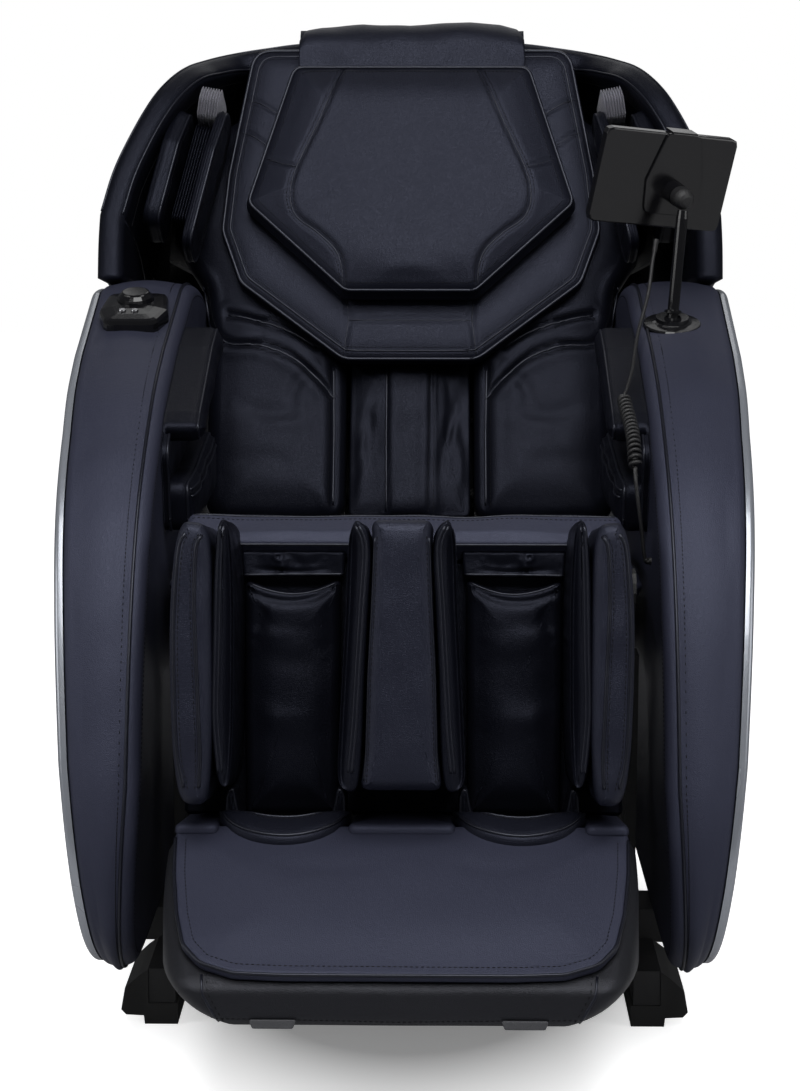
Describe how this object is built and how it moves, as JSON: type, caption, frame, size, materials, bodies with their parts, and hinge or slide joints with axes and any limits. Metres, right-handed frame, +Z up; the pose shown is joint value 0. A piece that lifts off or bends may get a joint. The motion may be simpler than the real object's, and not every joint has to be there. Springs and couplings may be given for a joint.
{
  "type": "massage chair",
  "caption": "Padded reclining massage chair with tall sided arms, hooded back, swinging leg rest with foot wells, and a control tablet on a post.",
  "frame": {"origin": "middle of the chair's length and width, on the floor", "axes": "+Z up, the sitter faces -Y, +X to the right as seen from the front"},
  "size_m": [0.8014, 1.308, 1.1583],
  "materials": {
    "actuator_rod": "polished",
    "air_pump": "matte",
    "arm_band_left": "satin",
    "arm_band_right": "satin",
    "arm_pad_left": "satin",
    "arm_pad_right": "satin",
    "arm_shell_left": "gloss",
    "arm_shell_right": "gloss",
    "back_frame": "satin",
    "back_pad": "satin",
    "back_shell": "matte",
    "back_strip": "satin",
    "base_frame": "satin",
    "calf_bolster_left": "satin",
    "calf_bolster_right": "satin",
    "calf_center_bolster": "satin",
    "calf_housing": "matte",
    "calf_inner_pad_left": "satin",
    "calf_inner_pad_right": "satin",
    "calf_pad_left": "satin",
    "calf_pad_right": "satin",
    "calf_top_bar": "satin",
    "dial_base": "gloss",
    "dial_button_left": "gloss",
    "dial_button_right": "gloss",
    "dial_knob": "gloss",
    "foot_collar_left": "satin",
    "foot_collar_right": "satin",
    "foot_cover": "satin",
    "foot_housing": "satin",
    "front_foot_left": "matte",
    "front_foot_right": "matte",
    "head_flap": "satin",
    "head_pillow": "satin",
    "kneading_arm_left": "satin",
    "kneading_arm_right": "satin",
    "kneading_roller_left": "matte",
    "kneading_roller_right": "matte",
    "lumbar_cushion_left": "satin",
    "lumbar_cushion_right": "satin",
    "mains_inlet": "gloss",
    "massage_carriage": "matte",
    "post_flange": "gloss",
    "power_box": "matte",
    "rear_wheels": "matte",
    "recline_actuator": "matte",
    "seat_cushion": "satin",
    "shoulder_bellows_left": "matte",
    "shoulder_bellows_right": "matte",
    "shoulder_pad_left": "satin",
    "shoulder_pad_right": "satin",
    "shoulder_wing_left": "satin",
    "shoulder_wing_right": "satin",
    "sole_roller": "matte",
    "tablet": "gloss",
    "tablet_bracket": "gloss",
    "tablet_cord": "matte",
    "tablet_knuckle": "gloss",
    "tablet_post": "gloss"
  },
  "bodies": {
    "base": {"base_frame": "base_frame", "seat_cushion": "seat_cushion", "power_box": "power_box", "mains_inlet": "mains_inlet", "air_pump": "air_pump", "front_foot_left": "front_foot_left", "front_foot_right": "front_foot_right", "arm_band_left": "arm_band_left", "arm_band_right": "arm_band_right", "arm_shell_left": "arm_shell_left", "arm_shell_right": "arm_shell_right", "arm_pad_left": "arm_pad_left", "arm_pad_right": "arm_pad_right", "dial_base": "dial_base", "post_flange": "post_flange", "tablet_cord": "tablet_cord"},
    "dial": {"dial_knob": "dial_knob"},
    "button_left": {"dial_button_left": "dial_button_left"},
    "button_right": {"dial_button_right": "dial_button_right"},
    "post": {"tablet_post": "tablet_post"},
    "tablet_head": {"tablet_knuckle": "tablet_knuckle", "tablet_bracket": "tablet_bracket", "tablet": "tablet"},
    "wheels": {"rear_wheels": "rear_wheels"},
    "back": {"back_frame": "back_frame", "back_shell": "back_shell", "lumbar_cushion_left": "lumbar_cushion_left", "lumbar_cushion_right": "lumbar_cushion_right", "back_strip": "back_strip", "back_pad": "back_pad", "head_flap": "head_flap", "shoulder_wing_left": "shoulder_wing_left", "shoulder_wing_right": "shoulder_wing_right", "shoulder_pad_left": "shoulder_pad_left", "shoulder_pad_right": "shoulder_pad_right", "shoulder_bellows_left": "shoulder_bellows_left", "shoulder_bellows_right": "shoulder_bellows_right"},
    "pillow": {"head_pillow": "head_pillow"},
    "carriage": {"massage_carriage": "massage_carriage"},
    "kneader_left": {"kneading_arm_left": "kneading_arm_left"},
    "kneader_right": {"kneading_arm_right": "kneading_arm_right"},
    "roller_left": {"kneading_roller_left": "kneading_roller_left"},
    "roller_right": {"kneading_roller_right": "kneading_roller_right"},
    "actuator": {"recline_actuator": "recline_actuator"},
    "rod": {"actuator_rod": "actuator_rod"},
    "leg_rest": {"calf_housing": "calf_housing", "calf_top_bar": "calf_top_bar", "calf_pad_left": "calf_pad_left", "calf_pad_right": "calf_pad_right", "calf_bolster_left": "calf_bolster_left", "calf_bolster_right": "calf_bolster_right", "calf_center_bolster": "calf_center_bolster", "calf_inner_pad_left": "calf_inner_pad_left", "calf_inner_pad_right": "calf_inner_pad_right"},
    "foot": {"foot_housing": "foot_housing", "foot_cover": "foot_cover", "foot_collar_left": "foot_collar_left", "foot_collar_right": "foot_collar_right"},
    "foot_roller": {"sole_roller": "sole_roller"}
  },
  "joints": [
    {"name": "back_recline", "type": "hinge", "parent": "base", "child": "back", "pos_m": [0, 0.21654, 0.4], "axis": [-1, 0, 0], "range_deg": [0, 45]},
    {"name": "leg_lift", "type": "hinge", "parent": "base", "child": "leg_rest", "pos_m": [0, -0.28846, 0.505], "axis": [-1, 0, 0], "range_deg": [0, 75], "deforming": ["tablet_cord"]},
    {"name": "foot_extend", "type": "slide", "parent": "leg_rest", "child": "foot", "axis": [0, -0.2079, -0.9781], "range_m": [0, 0.075]},
    {"name": "sole_roller_spin", "type": "hinge", "parent": "foot", "child": "foot_roller", "pos_m": [0, -0.42537, 0.13743], "axis": [1, 0, 0], "continuous": true},
    {"name": "carriage_travel", "type": "slide", "parent": "back", "child": "carriage", "axis": [0, 0.4695, 0.8829], "range_m": [0, 0.36]},
    {"name": "kneading_arm_left_swing", "type": "hinge", "parent": "carriage", "child": "kneader_left", "pos_m": [-0.045, 0.28696, 0.53244], "axis": [1, 0, 0], "range_deg": [-6, 6]},
    {"name": "kneading_arm_right_swing", "type": "hinge", "parent": "carriage", "child": "kneader_right", "pos_m": [0.045, 0.28696, 0.53244], "axis": [1, 0, 0], "range_deg": [-6, 6]},
    {"name": "kneading_roller_left_spin", "type": "hinge", "parent": "kneader_left", "child": "roller_left", "pos_m": [-0.063, 0.31901, 0.58845], "axis": [1, 0, 0], "continuous": true},
    {"name": "kneading_roller_right_spin", "type": "hinge", "parent": "kneader_right", "child": "roller_right", "pos_m": [0.063, 0.31901, 0.58845], "axis": [1, 0, 0], "continuous": true},
    {"name": "head_pillow_flip", "type": "hinge", "parent": "back", "child": "pillow", "pos_m": [0, 0.44195, 1.07634], "axis": [-1, 0, 0], "range_deg": [0, 90]},
    {"name": "actuator_swing", "type": "hinge", "parent": "base", "child": "actuator", "pos_m": [0, 0.39654, 0.11], "axis": [-1, 0, 0], "range_deg": [0, 5]},
    {"name": "actuator_stroke", "type": "slide", "parent": "actuator", "child": "rod", "axis": [0, -0.7422, 0.6702], "range_m": [0, 0.07]},
    {"name": "post_swivel", "type": "hinge", "parent": "base", "child": "post", "pos_m": [0.319, 0.04874, 0.7683], "axis": [0.0752, 0.0122, 0.9971], "range_deg": [-60, 60], "deforming": ["tablet_cord"]},
    {"name": "tablet_tilt", "type": "hinge", "parent": "post", "child": "tablet_head", "pos_m": [0.33, 0.05054, 0.914], "axis": [0.9238, 0.3717, -0.0919], "range_deg": [-20, 20], "deforming": ["tablet_cord"]},
    {"name": "dial_turn", "type": "hinge", "parent": "base", "child": "dial", "pos_m": [-0.333, 0.07894, 0.7856], "axis": [0, -0.2747, 0.9615], "continuous": true},
    {"name": "dial_button_left_press", "type": "slide", "parent": "base", "child": "button_left", "axis": [0, 0.2747, -0.9615], "range_m": [0, 0.0015], "stiffness_N_per_m": 300, "springref_m": -0.001},
    {"name": "dial_button_right_press", "type": "slide", "parent": "base", "child": "button_right", "axis": [0, 0.2747, -0.9615], "range_m": [0, 0.0015], "stiffness_N_per_m": 300, "springref_m": -0.001},
    {"name": "rear_wheels_spin", "type": "hinge", "parent": "base", "child": "wheels", "pos_m": [0, 0.49154, 0.037], "axis": [1, 0, 0], "continuous": true}
  ],
  "couplings": [
    {"joint": "kneading_arm_right_swing", "follows": "kneading_arm_left_swing", "ratio": -1},
    {"joint": "actuator_swing", "follows": "back_recline", "ratio": 0.0942},
    {"joint": "actuator_stroke", "follows": "back_recline", "m_per_rad": 0.0876}
  ]
}
